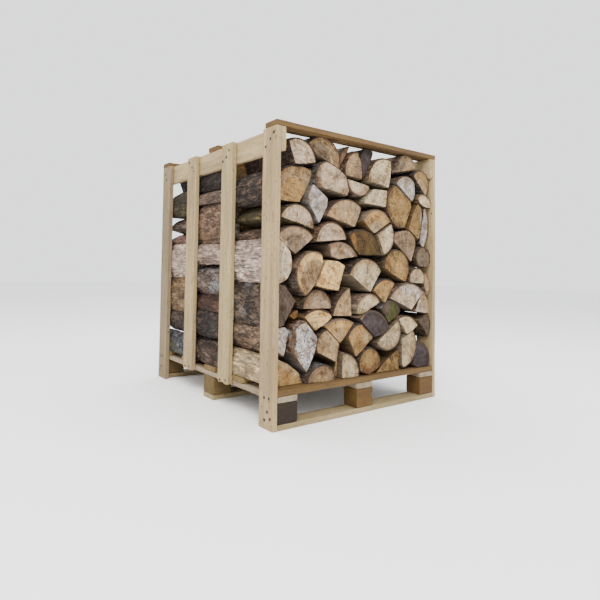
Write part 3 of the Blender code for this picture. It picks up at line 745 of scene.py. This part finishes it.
def split_log(row, number, around, along):
    """One log as rings of its shape carried from its front end to its back end.

    The rings on each end grow from the middle to the rim, and those between swell by a few
    millimetres by the square root of a sine, more where other logs hide them, and taper a
    little. The ends lean a little. Bark is raised in ridges that run along the log, and split
    sides in long shallow waves. Logs of the side columns are bark all round.
    """
    tone, ahead, corners, rise = LOGS[number - 1]
    seed = number * 7 + {"front": 0, "middle": 500, "back": 900}[row]
    rng = np.random.default_rng(seed)
    fine = np.exp(1j * np.linspace(0, 2 * math.pi, 720, endpoint=False))
    reach = log_shape(number, fine, np.array((FULLER,)))[1]
    step = np.diff(np.append(reach[0] * fine, reach[0, 0] * fine[0]))
    turn = np.abs(np.angle(np.roll(step, -1) / step))
    travel = np.concatenate(((0.0,), np.cumsum(np.abs(step) + 0.004 * np.minimum(turn, 0.6))))
    even = np.linspace(0, travel[-1], around, endpoint=False)
    angles = np.interp(even, travel, np.linspace(0, 2 * math.pi, 721))
    directions = np.exp(1j * angles)

    inner = np.linspace(0.012, 0.988, along) if along > 20 else np.concatenate((
        (0.012, 0.03, 0.06, 0.1, 0.16), np.linspace(0.25, 0.988, max(3, along - 5))))
    ends = np.array((0.16, 0.34, 0.52, 0.7, 0.84, 0.94, 0.985))
    share = np.concatenate((ends, np.ones(along + 2), ends[::-1]))
    place = np.concatenate((np.zeros(8), inner, np.ones(8)))
    taper = rng.uniform(-TAPER, TAPER) if along > 20 else 0.0
    swell = SWELL if row == "front" or number in TOP_COURSE else HIDDEN_SWELL
    middle, reach, bark = log_shape(
        number, directions,
        0.0003 + swell * np.sin(math.pi * place) ** 0.5 + taper * (place - 0.12 * (place < 1)))
    mirrored = row == "middle"
    across = (-middle.real if mirrored else middle.real) / ROW_WIDTH + 0.5
    face = ROW_FACES[row][0] + (ROW_FACES[row][1] - ROW_FACES[row][0]) * across
    back = ROW_BACKS[row][0] + (ROW_BACKS[row][1] - ROW_BACKS[row][0]) * across
    face -= ahead / 100 if row == "front" else 0.0

    flat = middle + reach * directions
    level_y = face + (back - face) * place[:, None] + 0 * reach
    spot = np.stack((flat.real, level_y, flat.imag), -1)
    plain_bark = PLAIN_BARKS[(number * 3 + seed) % len(PLAIN_BARKS)]
    *bark_tone, furrow, papery, lichen, moss = BARKS[row].get(number, plain_bark)
    ragged = 0.03 * lattice_noise(spot, (0.02, 0.05, 0.02), seed)
    mask = np.clip((bark + ragged + 0.01) / 0.02, 0, 1)
    if number in LEFT_COLUMN + RIGHT_COLUMN:
        mask = np.ones_like(mask)
    ridge = 0.6 - 2 * np.abs(lattice_noise(spot, (0.016, 0.07, 0.016), seed + 1))
    lump = lattice_noise(spot, (0.05, 0.10, 0.05), seed + 2)
    lump += 0.5 * lattice_noise(spot, (0.022, 0.04, 0.022), seed + 8)
    torn = lattice_noise(spot, (0.012, 0.3, 0.012), seed + 3)
    wave = lattice_noise(spot, (0.045, 0.13, 0.045), seed + 4)
    relief = mask * (0.0022 * furrow * ridge + 0.0026 * lump)
    relief += (1 - mask) * (0.0017 * torn + 0.0022 * wave)
    on_side = np.where(share == 1, np.minimum(1, 0.6 + 4 * np.minimum(place, 1 - place)), 0)
    reach = reach + relief * on_side[:, None]
    first_side, last_side = len(ends), len(share) - len(ends) - 1
    reach[:first_side] = reach[first_side]
    reach[last_side + 1:] = reach[last_side]
    offset = directions * reach * share[:, None]
    offset[first_side] *= 1 - 0.0010 / np.abs(offset[first_side])
    offset[last_side] *= 1 - 0.0010 / np.abs(offset[last_side])
    lean = rng.uniform(-0.05, 0.05, 4)
    front_lean = lean[0] * offset.real + lean[1] * offset.imag
    back_lean = lean[2] * offset.real + lean[3] * offset.imag
    y = level_y + front_lean * (1 - place[:, None]) ** 2 + back_lean * place[:, None] ** 2
    rings = np.stack(((middle + offset).real, y, (middle + offset).imag), -1)
    chipped = 0.0006 * lattice_noise(rings, (0.010, 1.0, 0.010), seed + 6)
    rings[..., 1] += chipped * (np.minimum(place, 1 - place) < 0.001)[:, None]
    rings[first_side, :, 1] += CUT_EDGE
    rings[last_side, :, 1] -= CUT_EDGE

    first, last = rings[0].mean(0), rings[-1].mean(0)
    if mirrored:
        rings[..., 0] *= -1
        rings, mask = rings[:, ::-1], mask[:, ::-1]
        first[0], last[0] = -first[0], -last[0]
    log = closed_grid(rings, first, last, len(ends))
    points = log["points"]
    bark_side, heart, barky = log_sides(corners, rise)[1:]
    flat = points[:, 0] * (-1 if mirrored else 1) + 1j * points[:, 2]
    apart = np.min([((point - flat) * normal.conjugate()).real for point, normal in bark_side], 0)
    depth = np.clip(apart + 0.001, 0, 1) if barky else np.full(len(points), 0.5)
    from_heart = flat - heart
    if number in ROUND_HEARTS:
        x, z, size, second = ROUND_HEARTS[number]
        beyond = size / 100 - np.abs(flat - complex(x, z) / 100)
    else:
        x, z, turned, second = SECOND_TONES.get(number, (0.0, 900.0, 90, tone))
        beyond = ((flat - complex(x, z) / 100) * np.exp(-1j * math.radians(turned))).real
    wood = np.array(colour(*WOOD_TONES[tone]))
    wood[:3] *= rng.uniform(0.90, 1.06)
    wood[3] = rng.uniform()
    bark_value = np.array(colour(*bark_tone))
    bark_value[:3] *= rng.uniform(0.85, 1.15)
    bark_value[3] = papery
    mask = np.concatenate((mask[:1, 0], mask.ravel(), mask[-1:, 0]))
    every = (len(points), 1)
    log["values"] = {
        "barked": mask[:, None],
        "heart": np.stack((from_heart.real, from_heart.imag, depth), -1),
        "wood": np.tile(wood, every),
        "second": np.column_stack((np.tile(colour(*WOOD_TONES[second])[:3], every), beyond)),
        "bark": np.tile(bark_value, every),
        "growth": np.tile((furrow, lichen, moss), every),
    }
    return log


def log_sides_look():
    """Bark and split wood. Bark has plates between long cracks, worn spots and patches where it
    has shed, or a papery pale skin with dark lines along the log, and lichen and moss in
    patches, and is painted lighter where its relief stands up and darker where it sinks: a
    painted highlight and painted shade on its plates, scales and lumps. Split wood has long
    torn fibres, grey with weather in patches, and is painted dark brown, darkest in the hollows
    of its fibres: partly its own weathered brown, partly a painted shade for the gaps between
    the logs. The log's own values choose between them."""
    material, start = new_material("bark and split wood")
    wood, own = start.carried("wood"), start.carried("wood", "Alpha")
    bark, papery = start.carried("bark"), start.carried("bark", "Alpha")
    barked = start.carried("barked", "Fac")
    furrow, lichen, moss = start.carried("growth", "Vector").parts()
    place = start.node("ShaderNodeTexCoord", {}, {}, "Object") + (own * 7.0) * (1.0, 1.0, 1.0)
    edge = (barked + place.cloud((70.0, 25.0, 70.0), 3.0) * 0.5).step(0.62, 0.78)

    torn = place.cloud((55.0, 3.2, 55.0), 5.0, 0.62).step(0.30, 0.70)
    fibre = place.cloud((420.0, 18.0, 420.0), 2.0).step(0.28, 0.72)
    weather = place.cloud((13.0, 5.0, 13.0), 4.0, 0.62).step(0.44, 0.66)
    # Split sides are painted dark, at most half the tone of the cut end, and darker brown in the
    # hollows of the torn fibres: partly the wood's own weathered brown, partly a painted shade for
    # the gaps between the logs.
    split = wood * (0.14 + 0.26 * torn + 0.12 * fibre)
    split = split.mixed(wood * (0.20, 0.13, 0.085), (1.0 - torn) * 0.6)
    split = split.mixed(colour(96, 84, 72), weather * 0.5)
    split_height = torn * 0.4 + fibre * 0.14

    plates = place.cloud((46.0, 14.0, 46.0), 4.0, 0.6, 0.6)
    crack = (plates - 0.5).size().step(0.07, 0.0)
    board = plates.step(0.30, 0.70)
    scale = place.cloud((115.0, 26.0, 115.0), 5.0, 0.68).step(0.36, 0.64)
    hue = place.cloud((20.0, 8.0, 20.0), 3.0, 0.6).step(0.35, 0.65)
    swell = place.cloud((30.0, 13.0, 30.0), 3.0, 0.55).step(0.30, 0.70)
    # Painted highlight and painted shade: plain bark is lighter where its plates and scales stand up
    # in the relief and darker between them.
    dark = bark * (0.24 + 0.62 * board + 0.90 * scale)
    dark = dark.mixed(dark * (1.10, 0.97, 0.86), hue * 0.8)
    # Painted highlight and painted shade: lighter on the big lumps of the relief, darker in its
    # hollows.
    dark = dark * (0.55 + 0.9 * swell)
    shed = (place + (3.0, 8.0, 1.0)).cloud((14.0, 7.0, 14.0), 5.0, 0.66).step(0.54, 0.58)
    dark = dark.mixed(bark * (2.5, 2.3, 2.15), shed * 0.6 * (0.4 + 0.6 * scale))
    # Worn patches, painted paler most on the big lumps of the relief: partly wear, partly a painted
    # highlight.
    worn = place.cloud((75.0, 30.0, 75.0), 5.0, 0.7, 0.4).step(0.55, 0.60)
    dark = dark.mixed(bark * (2.2, 2.0, 1.85), worn * (0.15 + 0.45 * swell))
    dark = dark.mixed(bark * (0.16, 0.13, 0.11), crack * (0.35 + 0.6 * furrow))
    lines = place.cloud((230.0, 11.0, 230.0), 4.0, 0.6).step(0.52, 0.62)
    blotch = place.cloud((34.0, 16.0, 34.0), 5.0, 0.7).step(0.48, 0.62)
    # Painted highlight and painted shade: the papery skin is lighter where its scales stand up in the
    # relief.
    skin = bark * (0.40 + 0.80 * scale)
    skin = skin.mixed(bark * (0.42, 0.33, 0.29), blotch * 0.85)
    skin = skin.mixed(colour(74, 58, 50), lines * 0.9)
    # Painted highlight and painted shade: the skin is lighter on the big lumps of the relief, darker
    # in its hollows.
    skin = skin * (0.62 + 0.72 * swell)
    skin = skin.mixed(bark * (0.30, 0.24, 0.20), crack * 0.45)
    rind = dark.mixed(skin, papery)
    spots = place.cloud(95.0, 4.0, 0.6).step(0.44, 0.56)
    grown = (place.cloud(13.0, 3.0, 0.5) + 0.16 * lichen).step(0.60, 0.68) * spots
    rind = rind.mixed(colour(154, 158, 162), grown * lichen.least(1.0) * 0.9)
    furred = (place.cloud(19.0, 5.0, 0.68) + 0.22 * moss).step(0.58, 0.72)
    rind = rind.mixed(colour(96, 91, 62), furred * moss.step(0.05, 0.6) * 0.7)
    rind_height = scale * 0.35 + (board * 0.5 - crack * 0.6) * (0.35 + furrow) + swell * 2.2

    height = split_height + (rind_height - split_height) * edge
    return finished(material, {
        "Base Color": split.mixed(rind, edge), "Normal": height.bumped(0.9, 0.006),
        "Roughness": 0.8 + 0.12 * scale, "Specular IOR Level": 0.25})


def log_ends_look():
    """Sawn log ends: year rings and wider bands about the heart, rays and drying cracks that
    run to the heart, streaks across, a second tone beyond a border, darker heartwood, a brown
    outer part inside a dark rim of bark, specks, saw lines and weather stains."""
    material, start = new_material("sawn log end")
    wood, own = start.carried("wood"), start.carried("wood", "Alpha")
    second, beyond = start.carried("second"), start.carried("second", "Alpha")
    bark = start.carried("bark")
    out_x, out_z, depth = start.carried("heart", "Vector").parts()
    shift = (own * 7.0) * (1.0, 1.0, 1.0)
    place = start.node("ShaderNodeTexCoord", {}, {}, "Object") + shift
    bend = place.cloud(22.0, 3.0)
    away = (out_x * out_x + out_z * out_z) ** 0.5 + bend * 0.010
    rings = (away * 1500.0).sine() * 0.5 + 0.5
    bands = start.vector(away * 210.0, own * 40.0, 0.0).cloud(1.0, 3.0, 0.6)
    turn = start.maths("ARCTAN2", out_z, out_x)
    ray = start.vector(turn * 26.0, away * 26.0, own * 60.0).cloud(1.0, 4.0, 0.7)
    crack_fan = start.vector(
        turn * 5.5 + place.cloud(60.0, 3.0) * 0.22, away * 5.0, own * 90.0)
    crack = (crack_fan.cloud(1.0, 2.0, 0.5) - 0.5).size().step(0.015, 0.003)
    crack = crack * place.cloud(17.0, 2.0).step(0.46, 0.56)
    rough = place.cloud(180.0, 4.0, 0.72).step(0.34, 0.66)
    stain = place.cloud(14.0, 5.0, 0.66)
    blotch = (place + (3.0, 5.0, 9.0)).cloud(31.0, 4.0, 0.6)

    border = beyond + (bend - 0.5) * 0.034 + (rough - 0.5) * 0.004
    two_tone = wood.mixed(second, border.step(-0.0036, 0.0036) * 0.85)
    two_tone = two_tone * (1.0 - 0.22 * border.size().step(0.0030, 0.0006))
    turned, quarter = (own * 50.0).sine(), (own * 50.0 + math.pi / 2).sine()
    lines = start.vector(
        (out_x * turned + out_z * quarter) * 150.0,
        (out_z * turned - out_x * quarter) * 11.0, own * 30.0).cloud(1.0, 4.0, 0.65)
    body = two_tone * (0.12 + 0.12 * rings + 0.32 * bands.step(0.38, 0.62) + 0.26 * rough
                       + 0.34 * ray.step(0.36, 0.64) + 0.24 * stain.step(0.40, 0.60)
                       + 0.30 * lines.step(0.36, 0.64) - 0.07)
    outer = (depth + (bend - 0.5) * 0.02).step(0.030, 0.010)
    body = body.mixed(body * (0.74, 0.62, 0.48), outer * 0.55)
    heartwood = depth.step(0.02, 0.07) * own.step(0.35, 0.8) * 0.5
    brown = (place + (9.0, 2.0, 4.0)).cloud(16.0, 4.0, 0.65).step(0.46, 0.66)
    body = body.mixed(body * (0.70, 0.58, 0.46), brown.most(heartwood) * 0.8)
    light = (place + (1.0, 6.0, 2.0)).cloud(15.0, 5.0, 0.68).step(0.50, 0.60)
    body = body.mixed(body * (1.16, 1.13, 1.09), light * 0.7)
    body = body.mixed(body * (0.52, 0.42, 0.32), blotch.step(0.52, 0.62) * 0.75)
    lichen = start.carried("growth", "Vector").parts()[1]
    specks = (place + (2.0, 1.0, 7.0)).cloud(120.0, 2.0, 0.6) + 0.11 * lichen.step(0.7, 0.8)
    specks = specks.step(0.64, 0.70)
    body = body.mixed(colour(60, 46, 38), specks * 0.7)
    body = body.mixed(colour(36, 27, 21), crack * 0.9)
    body = body.mixed(bark * (0.62, 0.55, 0.5), (depth + bend * 0.008).step(0.0135, 0.0085))
    saw = ((out_x * 620.0) + (out_z * 380.0) + bend * 14.0).sine()
    height = rough * 0.35 + rings * 0.14 + ray * 0.5 + saw * 0.12 - crack * 1.6
    return finished(material, {
        "Base Color": body, "Normal": height.bumped(0.7, 0.0018),
        "Roughness": 0.78 + 0.15 * rough, "Specular IOR Level": 0.22})


log_outlines, log_clips = settled_clips()
log_looks = [log_sides_look(), log_ends_look()]
LOOSE = {"front": TOP_COURSE, "middle": (1, 2, 4, 5, 6, 8, 9), "back": (1, 2, 4, 5, 6, 8, 9)}
# How many points go around a log and how many rings lie along it: where it shows, and inside.
MESH_COUNTS = {
    "front": ((74, 48), (64, 15)), "middle": ((56, 34), (38, 8)), "back": ((60, 36), (54, 9)),
}
for row in ("front", "middle", "back"):
    stacked = []
    for number in range(1, len(LOGS) + 1):
        if number in FRONT_ONLY and row != "front":
            continue
        hidden = number not in LEFT_COLUMN + RIGHT_COLUMN + TOP_COURSE
        log = split_log(row, number, *MESH_COUNTS[row][hidden])
        if number in LOOSE[row]:
            make_piece(f"split_log_{row}_{number:02d}", [log], log_looks,
                       [f"log_{row}_{number:02d}"])
        else:
            stacked.append(log)
    third = -(-len(stacked) // 3)
    for part, name in enumerate(("upper", "middle", "lower")):
        make_piece(f"stacked_{row}_{name}", stacked[part * third:part * third + third],
                   log_looks, [f"logs_{row}_row"])


# A plain pale floor under the crate, and wide soft daylight from the front left and above.
def pale_floor():
    """Matt pale grey, hardly mottled."""
    return finished(new_material("pale floor")[0], {
        "Base Color": (0.92, 0.92, 0.915, 1.0), "Roughness": 0.9})


floor_mesh = bpy.data.meshes.new("floor")
reach = 14.0
floor_mesh.from_pydata([(-reach, -reach, 0), (reach, -reach, 0), (reach, reach, 0),
                        (-reach, reach, 0)], [], [(0, 1, 2, 3)])
floor_mesh.materials.append(pale_floor())
floor = bpy.data.objects.new("floor", floor_mesh)
bpy.context.scene.collection.objects.link(floor)

sky = bpy.data.worlds.new("soft sky")
sky.use_nodes = True
sky.node_tree.nodes["Background"].inputs["Color"].default_value = (0.97, 0.98, 1.0, 1.0)
sky.node_tree.nodes["Background"].inputs["Strength"].default_value = 1.9
bpy.context.scene.world = sky
for name, place, size, power, tint in (
        ("window", (-2.7, -3.1, 4.0), 2.4, 330.0, (1.0, 0.98, 0.94)),
        ("fill", (2.8, -2.6, 2.6), 2.4, 45.0, (1.0, 1.0, 1.0)),
        ("overhead", (0.0, 0.6, 3.6), 2.6, 90.0, (0.96, 0.98, 1.0))):
    lamp = bpy.data.lights.new(name, "AREA")
    lamp.size = size
    lamp.energy = power
    lamp.color = tint
    holder = bpy.data.objects.new(name, lamp)
    holder.location = place
    toward = Vector((0.0, 0.0, 0.55)) - Vector(place)
    holder.rotation_euler = toward.to_track_quat("-Z", "Y").to_euler()
    bpy.context.scene.collection.objects.link(holder)
